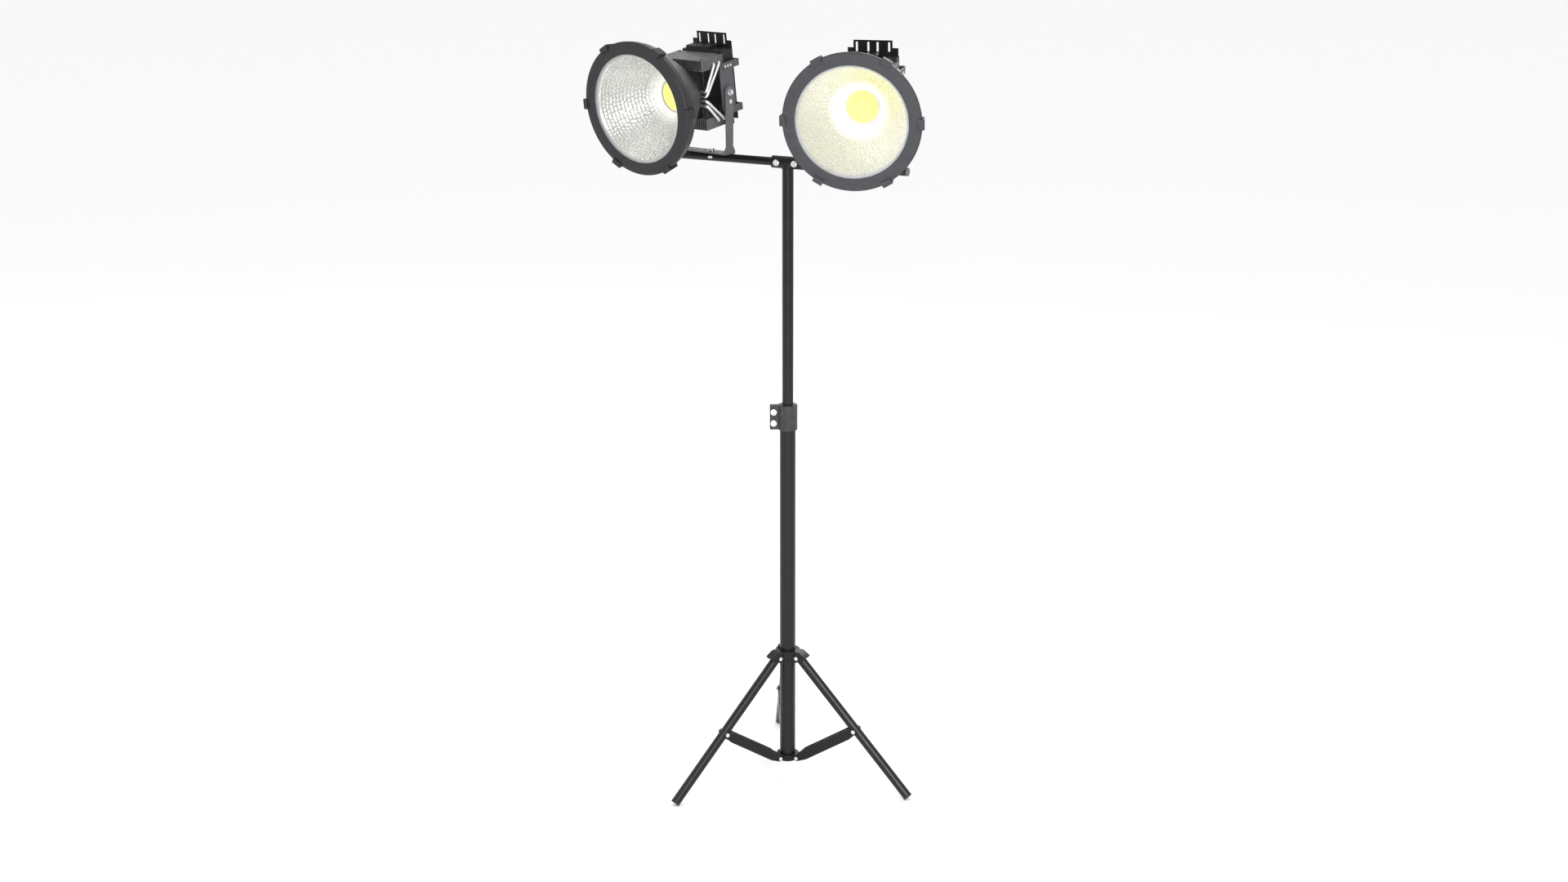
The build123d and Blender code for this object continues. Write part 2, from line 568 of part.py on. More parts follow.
def head_screws():
    """Tie bolts through the fin stacks, strap screws and the rear plate's screws."""
    solids = []
    for x, y in tie_points():
        tie = rod((x, y, SINK_BOTTOM - 1.4), (x, y, SINK_TOP + 1.4), TIE_R)
        tie += rod((x, y, SINK_BOTTOM - 1.4), (x, y, SINK_BOTTOM), 4.6)
        solids.append(tie + rod((x, y, SINK_TOP), (x, y, SINK_TOP + 1.4), 4.6))
    face = SIDE_IN + SIDE_T + STRAP_T
    for y in (276, 287, 298):
        screw = rod((face, y, STRAP_UP), (face + 2.8, y, STRAP_UP), 3.5)
        solids += [screw, mirror(screw, Plane.YZ)]
    for x in (-27, 27):
        solids.append(rod((x, PLATE_Y - 2.5, 101), (x, PLATE_Y, 101), 4))
    return group(solids)


HEAD_PARTS = {
    "bezel": bezel,
    "bezel_clips": bezel_clips,
    "lens": lens,
    "gasket": gasket,
    "reflector": reflector,
    "housing": housing,
    "led_board": led_board,
    "heat_core": heat_core,
    "heat_pipes": heat_pipes,
    "fin_stacks": fin_stacks,
    "rear_frame": rear_frame,
    "rear_plate": rear_plate,
    "driver_box": driver_box,
    "pivot_bolts": pivot_bolts,
    "head_screws": head_screws,
}


def stand_nodes():
    """Every node of the stand by name."""
    hub_pins = hub_pin(HUB_PIVOT_R, HUB_PIVOT_Z)
    low_pins = hub_pin(LOW_PIVOT_R, LOW_PIVOT_Z)
    nodes = {
        "lower_tube": tube(COLUMN_R, COLUMN_R - COLUMN_WALL, COLUMN_BOTTOM, COLUMN_TOP),
        "lower_hub": lower_hub(),
        "lower_hub_pins": group([around(angle) * low_pins for angle in LEG_ANGLES]),
        "clamp_collar": clamp_collar(),
        "collar_bolts": collar_bolts(),
        "mast_bush": mast_bush(),
        "leg_hub": leg_hub(),
        "leg_hub_pins": group([around(angle) * hub_pins for angle in LEG_ANGLES]),
        "hub_lock_knob": hub_lock_knob(),
        "mast_guide": mast_guide(),
        "upper_tube": tube(MAST_R, MAST_R - MAST_WALL, MAST_BOTTOM, MAST_TOP),
        "t_joint": t_joint(),
        "t_joint_bolts": t_joint_bolts(),
        "crossbar": crossbar(),
        "bar_caps": bar_caps(),
        "yoke_bolts": yoke_bolts(),
    }
    for number, angle in enumerate(LEG_ANGLES, start=1):
        nodes[f"leg_tube_{number}"] = around(angle) * leg_tube()
        nodes[f"foot_cap_{number}"] = around(angle) * foot_cap()
        nodes[f"brace_{number}"] = around(angle) * brace_pair()
    return nodes


def lamp_nodes():
    """Every node of the two lamps by name."""
    heads = {name: build() for name, build in HEAD_PARTS.items()}
    nodes = {}
    for label in LAMPS:
        nodes[f"{label}_yoke"] = yoke(label)
        nodes[f"{label}_tilt_lock_screws"] = tilt_lock_screws(label)
        for name, part in heads.items():
            nodes[f"{label}_{name}"] = on_yoke(label) * part
    return nodes


def main():
    os.makedirs("parts", exist_ok=True)
    for name, part in {**stand_nodes(), **lamp_nodes()}.items():
        export_step(part, f"parts/{name}.step")


if __name__ == "__main__":
    main()
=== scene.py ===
import math

import bpy
import numpy as np
from mathutils import Matrix, Vector
from mathutils.kdtree import KDTree


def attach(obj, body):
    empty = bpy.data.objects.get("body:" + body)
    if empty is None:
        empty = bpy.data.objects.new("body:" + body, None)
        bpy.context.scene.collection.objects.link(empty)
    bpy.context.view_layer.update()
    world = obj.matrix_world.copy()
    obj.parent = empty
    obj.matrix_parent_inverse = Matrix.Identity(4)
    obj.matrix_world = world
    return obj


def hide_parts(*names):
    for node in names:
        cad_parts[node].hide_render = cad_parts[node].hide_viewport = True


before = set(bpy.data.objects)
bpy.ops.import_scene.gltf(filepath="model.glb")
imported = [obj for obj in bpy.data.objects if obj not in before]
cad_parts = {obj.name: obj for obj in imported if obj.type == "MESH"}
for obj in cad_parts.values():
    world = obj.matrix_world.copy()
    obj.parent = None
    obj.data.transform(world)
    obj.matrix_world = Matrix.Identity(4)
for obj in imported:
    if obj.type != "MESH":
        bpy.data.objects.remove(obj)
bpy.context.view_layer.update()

MM = 0.001

# The lamps' places on the stand, as the CAD has them, in mm and degrees: the X of the swivel
# bolt, how far the lamp's centre is beyond it, the turn about Z and the tilt
LAMPS = {"left": (-231.5, -26.0, -12.0, 7.5), "right": (213.2, 26.0, 14.7, 6.8)}

# The tilt pivot in mm: its height on the stand, and its place back and up in the lamp's own frame
PIVOT_Z, PIVOT_BACK, PIVOT_UP = 1975.0, 282.0, -12.0

# Sizes of the lamp's parts in mm, out from its axis and back from the front of its ring
GLASS_R, RING_R, RING_DEEP = 146.0, 180.0, 24.0
COB_R, BOARD_R, BOARD_FRONT, HOUSING_BACK = 42.5, 58.0, 164.0, 170.0
SOURCE_BACK = 162.0
BOWL_MOUTH, BOWL_APEX, BOWL_FRONT, BOWL_FLOOR, BOWL_WALL = 141.0, 178.0, 12.0, 160.0, 1.2
FLANGE_FRONT, FLANGE_BACK, FLANGE_R = 10.8, 12.6, RING_R - 9.5

# The reflector's mesh: rows down and points around its inner face. The outer face has one row
# for every BOWL_SKIP of those
BOWL_ROWS, BOWL_AROUND, BOWL_SKIP, BOWL_SEED = 110, 520, 6, 7

# The hammered dimples in mm: pitch, radius of curvature and greatest depth, the rows over which
# they fade at each rim, and how unevenly they lie (around as a share of the pitch, out and back)
DIMPLE_PITCH, DIMPLE_CURVE, DIMPLE_DEPTH, DIMPLE_FADE = 11.0, 9.0, 1.3, 3
UNEVEN_AROUND, UNEVEN_OUT, UNEVEN_BACK = 0.22, 1.0, 1.3

# The heat pipes in mm
PIPE_R, PIPE_SIDE, PIPE_BEND = 4.0, 81.0, 9.0
PIPE_START, PIPE_FRONT, PIPE_END = 30.0, 196.0, 12.0

# Each heat pipe: its height in the core, how far back it enters the fins and its height there
PIPE_ROUTES = ((7, 240, 75), (-6, 262, 75), (-18, 262, -82), (-31, 240, -82))

# Faces further out than these belong to bright screws or bolt heads, in mm
SIDE_PLATE_OUT, BRACE_OUT = 84.0, 15.6

# The soft edges that modifiers give CAD nodes: segments, the angle that counts as an edge in
# degrees, and how near two points of the CAD mesh are when they are one, in metres
BEVEL_SEGMENTS, BEVEL_ANGLE, WELD_DISTANCE = 2, 38.0, 1e-6

# The camera in metres and degrees, and the floor in metres
CAMERA_PLACE, CAMERA_DOWN, CAMERA_TURN = (2.662, -5.3775, 2.744), 16.0995, 26.437
CAMERA_LENS, CAMERA_SENSOR = 51.31, 36.0
FLOOR_REACH, FLOOR_DROP = 60.0, 0.0005


# ---------------------------------------------------------------- camera, light, floor
def make_camera():
    """A camera at the photograph's place and angle."""
    data = bpy.data.cameras.new("Camera")
    data.sensor_width, data.lens = CAMERA_SENSOR, CAMERA_LENS
    data.clip_start, data.clip_end = 0.05, 200.0
    camera = bpy.data.objects.new("Camera", data)
    bpy.context.scene.collection.objects.link(camera)
    camera.location = CAMERA_PLACE
    camera.rotation_euler = (math.radians(90 - CAMERA_DOWN), 0, math.radians(CAMERA_TURN))
    bpy.context.scene.camera = camera


def area_light(name, place, target, size, watts):
    """A white rectangular light of size (width, height), aimed at a target, in metres."""
    data = bpy.data.lights.new(name, "AREA")
    data.shape, data.size, data.size_y = "RECTANGLE", size[0], size[1]
    data.energy = watts
    lamp = bpy.data.objects.new(name, data)
    bpy.context.scene.collection.objects.link(lamp)
    lamp.location = place
    aim = Vector(target) - Vector(place)
    lamp.rotation_euler = aim.to_track_quat("-Z", "Y").to_euler()


def make_studio():
    """White surroundings, four soft lights and a pale floor."""
    scene = bpy.context.scene
    scene.view_settings.view_transform = "Standard"
    world = bpy.data.worlds.new("Studio")
    scene.world = world
    world.use_nodes = True
    back = world.node_tree.nodes["Background"]
    back.inputs["Color"].default_value = (1.0, 1.0, 1.0, 1)
    back.inputs["Strength"].default_value = 1.0
    area_light("Key", (4.2, -3.8, 3.6), (0, 0, 1.4), (1.4, 2.4), 150)
    area_light("Strip", (2.35, -4.75, 2.2), (0, 0, 1.45), (0.16, 2.6), 95)
    area_light("Fill", (-3.4, -4.4, 3.4), (0, 0, 1.3), (1.6, 2.4), 60)
    area_light("Back", (-0.8, 4.6, 3.6), (0, 0, 1.3), (3.0, 2.0), 60)
    mesh = bpy.data.meshes.new("floor")
    reach = FLOOR_REACH
    corners = [(-reach, -reach, 0), (reach, -reach, 0), (reach, reach, 0), (-reach, reach, 0)]
    mesh.from_pydata(corners, [], [(0, 1, 2, 3)])
    floor = bpy.data.objects.new("floor", mesh)
    scene.collection.objects.link(floor)
    floor.location.z = -FLOOR_DROP
    material, shader, _ = new_material("studio_floor", (0.94, 0.94, 0.94), 0.9)
    mesh.materials.append(material)


# ---------------------------------------------------------------- materials
def new_material(name, colour, roughness, metallic=0.0, **sockets):
    """A node material, its shader and its tree. sockets are more of the shader's own values."""
    material = bpy.data.materials.new(name)
    material.use_nodes = True
    shader = material.node_tree.nodes["Principled BSDF"]
    shader.inputs["Base Color"].default_value = (*colour, 1)
    shader.inputs["Roughness"].default_value = roughness
    shader.inputs["Metallic"].default_value = metallic
    for key, value in sockets.items():
        shader.inputs[key.replace("_", " ")].default_value = value
    return material, shader, material.node_tree


def object_coords(tree, stretch=None):
    """Places in the object's frame, which a stretch makes finer along an axis."""
    coords = tree.nodes.new("ShaderNodeTexCoord").outputs["Object"]
    if stretch is None:
        return coords
    mapping = tree.nodes.new("ShaderNodeMapping")
    mapping.inputs["Scale"].default_value = stretch
    tree.links.new(coords, mapping.inputs["Vector"])
    return mapping.outputs["Vector"]


def noise(tree, size_mm, detail=3.0, rough=0.55, stretch=None):
    """Fractal noise whose features are about size_mm across."""
    node = tree.nodes.new("ShaderNodeTexNoise")
    node.inputs["Scale"].default_value = 1000.0 / size_mm
    node.inputs["Detail"].default_value = detail
    node.inputs["Roughness"].default_value = rough
    tree.links.new(object_coords(tree, stretch), node.inputs["Vector"])
    return node.outputs["Fac"]


def cells(tree, size_mm, feature="F1"):
    """Distance from the centre of cells that are about size_mm across."""
    node = tree.nodes.new("ShaderNodeTexVoronoi")
    node.feature = feature
    node.inputs["Scale"].default_value = 1000.0 / size_mm
    tree.links.new(object_coords(tree), node.inputs["Vector"])
    return node.outputs["Distance"]


def colour_ramp(tree, factor, stops):
    """Colours by factor, where stops are pairs of a position and a colour."""
    node = tree.nodes.new("ShaderNodeValToRGB")
    points = node.color_ramp.elements
    while len(points) < len(stops):
        points.new(0.5)
    for point, (position, colour) in zip(points, stops):
        point.position = position
        point.color = (*colour, 1)
    tree.links.new(factor, node.inputs["Fac"])
    return node.outputs["Color"]


def span(tree, value, low, high, out_low, out_high):
    """Maps low..high to out_low..out_high, and stays within them."""
    node = tree.nodes.new("ShaderNodeMapRange")
    limits = {"From Min": low, "From Max": high, "To Min": out_low, "To Max": out_high}
    for key, number in limits.items():
        node.inputs[key].default_value = number
    tree.links.new(value, node.inputs["Value"])
    return node.outputs["Result"]


def mixed(tree, factor, a, b):
    """Colour a at factor 0 and b at factor 1, each a socket or a value."""
    node = tree.nodes.new("ShaderNodeMix")
    node.data_type, node.blend_type = "RGBA", "MIX"
    for socket, value in ((node.inputs[0], factor), (node.inputs[6], a), (node.inputs[7], b)):
        if isinstance(value, bpy.types.NodeSocket):
            tree.links.new(value, socket)
        elif isinstance(value, (int, float)):
            socket.default_value = value
        else:
            socket.default_value = (*value, 1)
    return node.outputs[2]


def math_node(tree, operation, a, b):
    node = tree.nodes.new("ShaderNodeMath")
    node.operation = operation
    for socket, value in zip(node.inputs, (a, b)):
        if isinstance(value, bpy.types.NodeSocket):
            tree.links.new(value, socket)
        else:
            socket.default_value = value
    return node.outputs[0]


def bumped(tree, shader, height, depth_mm, strength):
    """Gives a shader bumps of depth_mm from a height between 0 and 1."""
    node = tree.nodes.new("ShaderNodeBump")
    node.inputs["Strength"].default_value = strength
    node.inputs["Distance"].default_value = depth_mm * MM
    tree.links.new(height, node.inputs["Height"])
    tree.links.new(node.outputs["Normal"], shader.inputs["Normal"])


def edge_mask(tree, radius_mm, threshold=0.06):
    """1 along convex and concave edges within radius_mm, 0 on open faces."""
    bevel = tree.nodes.new("ShaderNodeBevel")
    bevel.samples = 4
    bevel.inputs["Radius"].default_value = radius_mm * MM
    geometry = tree.nodes.new("ShaderNodeNewGeometry")
    dot = tree.nodes.new("ShaderNodeVectorMath")
    dot.operation = "DOT_PRODUCT"
    tree.links.new(bevel.outputs["Normal"], dot.inputs[0])
    tree.links.new(geometry.outputs["Normal"], dot.inputs[1])
    return span(tree, dot.outputs["Value"], 1.0 - threshold, 0.999, 1.0, 0.0)


def powder_coat(
    name, colour, roughness, peel_mm=1.6, depth=0.02, dust=0.02, worn=0.0, specular=0.3, coat=0.0
):
    """Powder-coated metal: orange peel, cloudy gloss, a little dust and rubbed edges."""
    sockets = {"Specular_IOR_Level": specular, "Coat_Weight": coat, "Coat_Roughness": 0.16}
    material, shader, tree = new_material(name, colour, roughness, **sockets)
    cloud = noise(tree, 45.0, 4.0)
    dusty = tuple(c + dust for c in colour)
    dark = tuple(c * 0.86 for c in colour)
    base = colour_ramp(tree, cloud, [(0.3, dark), (0.55, colour), (0.8, dusty)])
    if worn:
        patches = span(tree, noise(tree, 6.0), 0.48, 0.62, 0.0, worn)
        speckle = math_node(tree, "MULTIPLY", edge_mask(tree, 1.2), patches)
        base = mixed(tree, speckle, base, (0.20, 0.20, 0.205))
    tree.links.new(base, shader.inputs["Base Color"])
    gloss = span(tree, noise(tree, 20.0, 3.0, 0.55), 0.34, 0.66, roughness - 0.04, roughness + 0.07)
    tree.links.new(gloss, shader.inputs["Roughness"])
    bumped(tree, shader, noise(tree, peel_mm, 2.0, 0.5), depth, 0.6)
    return material


def moulded(name, colour, roughness, grain_mm=0.8, depth=0.04, specular=0.5):
    """Moulded plastic or rubber with a fine grain and faint flow marks."""
    material, shader, tree = new_material(name, colour, roughness, 0.0, Specular_IOR_Level=specular)
    flow = noise(tree, 30.0, 3.0, 0.6, (1.0, 1.0, 2.2))
    dark, pale = tuple(c * 0.85 for c in colour), tuple(c * 1.18 for c in colour)
    base = colour_ramp(tree, flow, [(0.3, dark), (0.6, colour), (0.85, pale)])
    tree.links.new(base, shader.inputs["Base Color"])
    gloss = span(tree, noise(tree, 9.0, 4.0), 0.3, 0.7, roughness - 0.06, roughness + 0.08)
    tree.links.new(gloss, shader.inputs["Roughness"])
    bumped(tree, shader, cells(tree, grain_mm), depth, 0.5)
    return material


def plated(name, colour, roughness, tint=None, depth=0.01, swing=0.1):
    """Plated or polished metal with fine marks and small stains."""
    material, shader, tree = new_material(name, colour, roughness, 1.0)
    stained = tint or tuple(c * 0.72 for c in colour)
    stain = colour_ramp(tree, noise(tree, 7.0, 5.0, 0.6), [(0.35, stained), (0.6, colour)])
    tree.links.new(stain, shader.inputs["Base Color"])
    marks = noise(tree, 0.9, 3.0, 0.6)
    polish = span(tree, marks, 0.3, 0.7, roughness - 0.6 * swing, roughness + swing)
    tree.links.new(polish, shader.inputs["Roughness"])
    bumped(tree, shader, marks, depth, 0.5)
    return material


def anodised_fins(name):
    """Dark anodised sheet whose cut edges are lighter."""
    material, shader, tree = new_material(name, (0.06, 0.061, 0.065), 0.42, 0.3)
    shades = [(0.3, (0.062, 0.063, 0.068)), (0.7, (0.10, 0.101, 0.108))]
    cloud = colour_ramp(tree, noise(tree, 25.0, 4.0), shades)
    patches = span(tree, noise(tree, 10.0), 0.3, 0.6, 0.4, 0.9)
    rubbed = math_node(tree, "MULTIPLY", edge_mask(tree, 0.9), patches)
    base = mixed(tree, rubbed, cloud, (0.24, 0.245, 0.26))
    tree.links.new(base, shader.inputs["Base Color"])
    gloss = span(tree, noise(tree, 3.0, 4.0), 0.3, 0.7, 0.34, 0.52)
    tree.links.new(gloss, shader.inputs["Roughness"])
    bumped(tree, shader, noise(tree, 0.7, 3.0, 0.6, (1, 1, 0.08)), 0.02, 0.5)
    return material


def from_point(tree, centre, near_mm, far_mm):
    """1 within near_mm of a point in the object's frame, falling to 0 at far_mm."""
    node = tree.nodes.new("ShaderNodeVectorMath")
    node.operation = "DISTANCE"
    tree.links.new(object_coords(tree), node.inputs[0])
    node.inputs[1].default_value = centre
    return span(tree, node.outputs["Value"], near_mm * MM, far_mm * MM, 1.0, 0.0)


def hammered_metal(name, tint, milky, centre, near_mm, far_mm):
    """Bright reflector sheet, milky by a share, with a painted glow that whitens it round the LED.
    """
    material, shader, tree = new_material(
        name, tint, 0.24, 1.0 - milky, Coat_Weight=0.25, Coat_Roughness=0.1
    )
    dark = tuple(c * 0.95 for c in tint)
    base = colour_ramp(tree, noise(tree, 22.0, 4.0), [(0.3, dark), (0.6, tint)])
    # Painted light: near the LED the sheet turns white and loses its metal, a pool of light painted
    # on
    painted_glow = from_point(tree, centre, near_mm, far_mm)
    tree.links.new(mixed(tree, painted_glow, base, (0.95, 0.95, 0.94)), shader.inputs["Base Color"])
    tree.links.new(span(tree, painted_glow, 0.0, 1.0, 1.0 - milky, 0.0), shader.inputs["Metallic"])
    marks = noise(tree, 2.2, 3.0)
    tree.links.new(span(tree, marks, 0.3, 0.7, 0.17, 0.34), shader.inputs["Roughness"])
    bumped(tree, shader, marks, 0.03, 0.4)
    return material


def phosphor(name):
    """Yellow phosphor gel over rows of dies, which show as a faint grid."""
    colour = (1.0, 0.99, 0.20)
    material, shader, tree = new_material(
        name, colour, 0.32, 0.0, Coat_Weight=0.6, Coat_Roughness=0.06
    )
    # Painted glow: a faint yellow emission brightens the phosphor of an LED that is not lit
    shader.inputs["Emission Color"].default_value = (1.0, 0.98, 0.16, 1)
    shader.inputs["Emission Strength"].default_value = 0.12
    shader.inputs["Subsurface Weight"].default_value = 0.25
    shader.inputs["Subsurface Radius"].default_value = (0.004, 0.003, 0.001)
    dies = cells(tree, 3.2, "SMOOTH_F1")
    shades = [(0.0, (0.99, 0.94, 0.14)), (0.35, colour), (0.9, (1.0, 1.0, 0.28))]
    base = colour_ramp(tree, dies, shades)
    tree.links.new(base, shader.inputs["Base Color"])
    tree.links.new(span(tree, noise(tree, 9.0), 0.3, 0.7, 0.26, 0.42), shader.inputs["Roughness"])
    bumped(tree, shader, dies, 0.05, 0.3)
    return material


def clear_glass(name):
    """Thin clear glass with faint smears, which mirrors more at grazing angles."""
    material, shader, tree = new_material(name, (1.0, 1.0, 1.0), 0.0)
    clear = tree.nodes.new("ShaderNodeBsdfTransparent")
    clear.inputs["Color"].default_value = (0.985, 0.985, 0.98, 1)
    gloss = tree.nodes.new("ShaderNodeBsdfGlossy")
    smear = span(tree, noise(tree, 40.0, 5.0, 0.6), 0.4, 0.75, 0.02, 0.09)
    tree.links.new(smear, gloss.inputs["Roughness"])
    weight = tree.nodes.new("ShaderNodeLayerWeight")
    weight.inputs["Blend"].default_value = 0.5
    grazing = math_node(tree, "POWER", weight.outputs["Facing"], 5.0)
    share = tree.nodes.new("ShaderNodeMixShader")
    tree.links.new(span(tree, grazing, 0.0, 1.0, 0.025, 0.85), share.inputs[0])
    tree.links.new(clear.outputs[0], share.inputs[1])
    tree.links.new(gloss.outputs[0], share.inputs[2])
    out = tree.nodes["Material Output"]
    tree.links.new(share.outputs[0], out.inputs["Surface"])
    tree.nodes.remove(shader)
    return material


# ---------------------------------------------------------------- mesh helpers
def link_mesh(name, points, faces, material):
    mesh = bpy.data.meshes.new(name)
    mesh.from_pydata([tuple(p) for p in points], [], faces)
    mesh.validate()
    mesh.polygons.foreach_set("use_smooth", [True] * len(mesh.polygons))
    mesh.materials.append(material)
    piece = bpy.data.objects.new(name, mesh)
    bpy.context.scene.collection.objects.link(piece)
    return piece


def sharpened(piece, degrees=35.0):
    """Marks edges sharper than an angle, so that smooth shading stops there."""
    piece.data.set_sharp_from_angle(angle=math.radians(degrees))
    return piece


def head_matrix(label):
    """From the lamp's own frame in mm to the object's frame in metres."""
    bolt_x, beyond, yaw, tilt = LAMPS[label]
    place = Matrix.Translation((bolt_x, 0, 0)) @ Matrix.Rotation(math.radians(yaw), 4, "Z")
    place = place @ Matrix.Translation((beyond, 0, PIVOT_Z))
    place = place @ Matrix.Rotation(math.radians(tilt), 4, "X")
    place = place @ Matrix.Translation((0, -PIVOT_BACK, -PIVOT_UP))
    return Matrix.Scale(MM, 4) @ place


def placed(points, matrix):
    """Points moved by a matrix, as an array."""
    a = np.array(matrix)
    return np.asarray(points, float) @ a[:3, :3].T + a[:3, 3]


def corner(before, here, after, radius, steps):
    """Points of a smooth bend at here, or here alone where there is nothing to round."""
    before, here, after = (np.array(p, float) for p in (before, here, after))
    to_a, to_b = before - here, after - here
    la, lb = np.linalg.norm(to_a), np.linalg.norm(to_b)
    to_a, to_b = to_a / la, to_b / lb
    half = math.acos(max(-1.0, min(1.0, float(to_a @ to_b)))) / 2
    cut = min(radius / max(math.tan(half), 1e-6), 0.45 * la, 0.45 * lb)
    if cut < 1e-4 or half > math.radians(88):
        return [here]
    start, end = here + to_a * cut, here + to_b * cut
    shares = [k / steps for k in range(steps + 1)]
    return [(1 - t) ** 2 * start + 2 * t * (1 - t) * here + t * t * end for t in shares]


def rounded(profile, radii, steps):
    """A closed outline with its corners rounded. radii is one number, or one for each corner."""
    count, out = len(profile), []
    radii = [radii] * count if isinstance(radii, (int, float)) else radii
    for i in range(count):
        out += corner(profile[i - 1], profile[i], profile[(i + 1) % count], radii[i], steps)
    return out


def lathe(name, profile, material, matrix, segments=192):
    """A closed outline of (radius, back) turned round the lamp's axis."""
    n, points, faces = len(profile), [], []
    for k in range(segments):
        a = 2 * math.pi * k / segments
        points += [(r * math.cos(a), y, r * math.sin(a)) for r, y in profile]
    for k in range(segments):
        a, b = k * n, ((k + 1) % segments) * n
        for i in range(n):
            j = (i + 1) % n
            faces.append((a + i, a + j, b + j, b + i))
    return sharpened(link_mesh(name, placed(points, matrix), faces, material))


def disc(name, profile, material, matrix, segments=96):
    """An open outline that starts and ends on the axis, turned into a closed solid."""
    inner = profile[1:-1]
    points = [(0, profile[0][1], 0), (0, profile[-1][1], 0)]
    for k in range(segments):
        a = 2 * math.pi * k / segments
        points += [(r * math.cos(a), y, r * math.sin(a)) for r, y in inner]
    n, faces = len(inner), []
    for k in range(segments):
        a, b = 2 + k * n, 2 + ((k + 1) % segments) * n
        faces.append((0, a, b))
        faces += [(a + i, a + i + 1, b + i + 1, b + i) for i in range(n - 1)]
        faces.append((1, b + n - 1, a + n - 1))
    return sharpened(link_mesh(name, placed(points, matrix), faces, material))


def bent_path(corners, radius, steps=7):
    """Points along straight runs joined by smooth bends."""
    path = [np.array(corners[0], float)]
    for before, here, after in zip(corners, corners[1:], corners[2:]):
        path += corner(before, here, after, radius, steps)
    path.append(np.array(corners[-1], float))
    return path


def swept(path, radius, around=20):
    """Points and faces of a round bar along a path, with closed ends."""
    path = np.array(path)
    runs = np.diff(path, axis=0)
    runs /= np.linalg.norm(runs, axis=1)[:, None]
    tangents = np.vstack([runs[:1], runs[:-1] + runs[1:], runs[-1:]])
    tangents /= np.linalg.norm(tangents, axis=1)[:, None]
    helper = np.array((0.0, 0.0, 1.0)) if abs(tangents[0][2]) < 0.9 else np.array((1.0, 0.0, 0.0))
    normal = np.cross(tangents[0], helper)
    points, faces = [], []
    for place, tangent in zip(path, tangents):
        normal = normal - tangent * (normal @ tangent)
        normal /= np.linalg.norm(normal)
        other = np.cross(tangent, normal)
        for k in range(around):
            a = 2 * math.pi * k / around
            points.append(place + radius * (math.cos(a) * normal + math.sin(a) * other))
    for s in range(len(path) - 1):
        for k in range(around):
            a, b = s * around + k, s * around + (k + 1) % around
            faces.append((a, b, b + around, a + around))
    last = (len(path) - 1) * around
    faces.append(tuple(range(around - 1, -1, -1)))
    faces.append(tuple(range(last, last + around)))
    return points, faces


def joined(parts):
    """Several meshes' points and faces as one."""
    points, faces = [], []
    for more_points, more_faces in parts:
        start = len(points)
        points += list(more_points)
        faces += [tuple(i + start for i in face) for face in more_faces]
    return points, faces


# ---------------------------------------------------------------- lamp pieces
def bowl_radius(back):
    """The bowl is a paraboloid: its radius at a distance back."""
    return BOWL_MOUTH * math.sqrt((BOWL_APEX - back) / (BOWL_APEX - BOWL_FRONT))


def bowl_rows(count):
    """Evenly spaced rows down the bowl's inner face: radii, distances back, normals and length."""
    fine = np.linspace(BOWL_FRONT, BOWL_FLOOR, 1500)
    radii = np.array([bowl_radius(y) for y in fine])
    steps = np.hypot(np.diff(fine), np.diff(radii))
    length = np.concatenate([[0.0], np.cumsum(steps)])
    wanted = np.linspace(0, length[-1], count)
    back, radius = np.interp(wanted, length, fine), np.interp(wanted, length, radii)
    slope = np.gradient(radius, back)
    size = np.hypot(1, slope)
    return radius, back, np.stack([-1 / size, slope / size], 1), length[-1]


def dimple_centres(pitch, seed):
    """Centres of hammered dimples in staggered rows, a little uneven."""
    rng = np.random.default_rng(seed)
    *_, length = bowl_rows(2)
    radius, back, _, _ = bowl_rows(max(3, round(length / (pitch * 0.9))))
    centres = []
    for row, (r, y) in enumerate(zip(radius, back)):
        count = max(8, round(2 * math.pi * r / pitch))
        for k in range(count):
            turns = k + 0.5 * (row % 2) + rng.uniform(-UNEVEN_AROUND, UNEVEN_AROUND)
            a = 2 * math.pi * turns / count
            out = r + rng.uniform(-UNEVEN_OUT, UNEVEN_OUT)
            deep = y + rng.uniform(-UNEVEN_BACK, UNEVEN_BACK)
            centres.append((out * math.cos(a), deep, out * math.sin(a)))
    return centres


def reflector_mesh(rows, around, pitch, seed):
    """The hammered bowl with its flange, in the lamp's frame."""
    centres = dimple_centres(pitch, seed)
    tree = KDTree(len(centres))
    for i, centre in enumerate(centres):
        tree.insert(centre, i)
    tree.balance()
    radius, back, normal, _ = bowl_rows(rows)
    flange = rounded(
        [
            (BOWL_MOUTH + BOWL_WALL, FLANGE_BACK), (FLANGE_R, FLANGE_BACK),
            (FLANGE_R, FLANGE_FRONT), (BOWL_MOUTH, FLANGE_FRONT),
        ],
        0.4, 2,
    )
    few = list(zip(radius[::-BOWL_SKIP], back[::-BOWL_SKIP]))[:-1]
    rest = [(r + BOWL_WALL, y + BOWL_WALL * 0.5) for r, y in few] + flange
    n = rows + len(rest)
    points = []
    for k in range(around):
        a = 2 * math.pi * k / around
        c, s = math.cos(a), math.sin(a)
        for i in range(rows):
            r, y = radius[i], back[i]
            _, _, far = tree.find((r * c, y, r * s))
            fade = min(1.0, i / DIMPLE_FADE, (rows - 1 - i) / DIMPLE_FADE)
            lift = fade * min(far * far / (2 * DIMPLE_CURVE), DIMPLE_DEPTH)
            reach = r + normal[i, 0] * lift
            points.append((reach * c, y + normal[i, 1] * lift, reach * s))
        points += [(r * c, y, r * s) for r, y in rest]
    faces = []
    for k in range(around):
        a, b = k * n, ((k + 1) % around) * n
        for i in range(n):
            j = (i + 1) % n
            faces.append((a + i, b + i, b + j, a + j))
    return points, faces


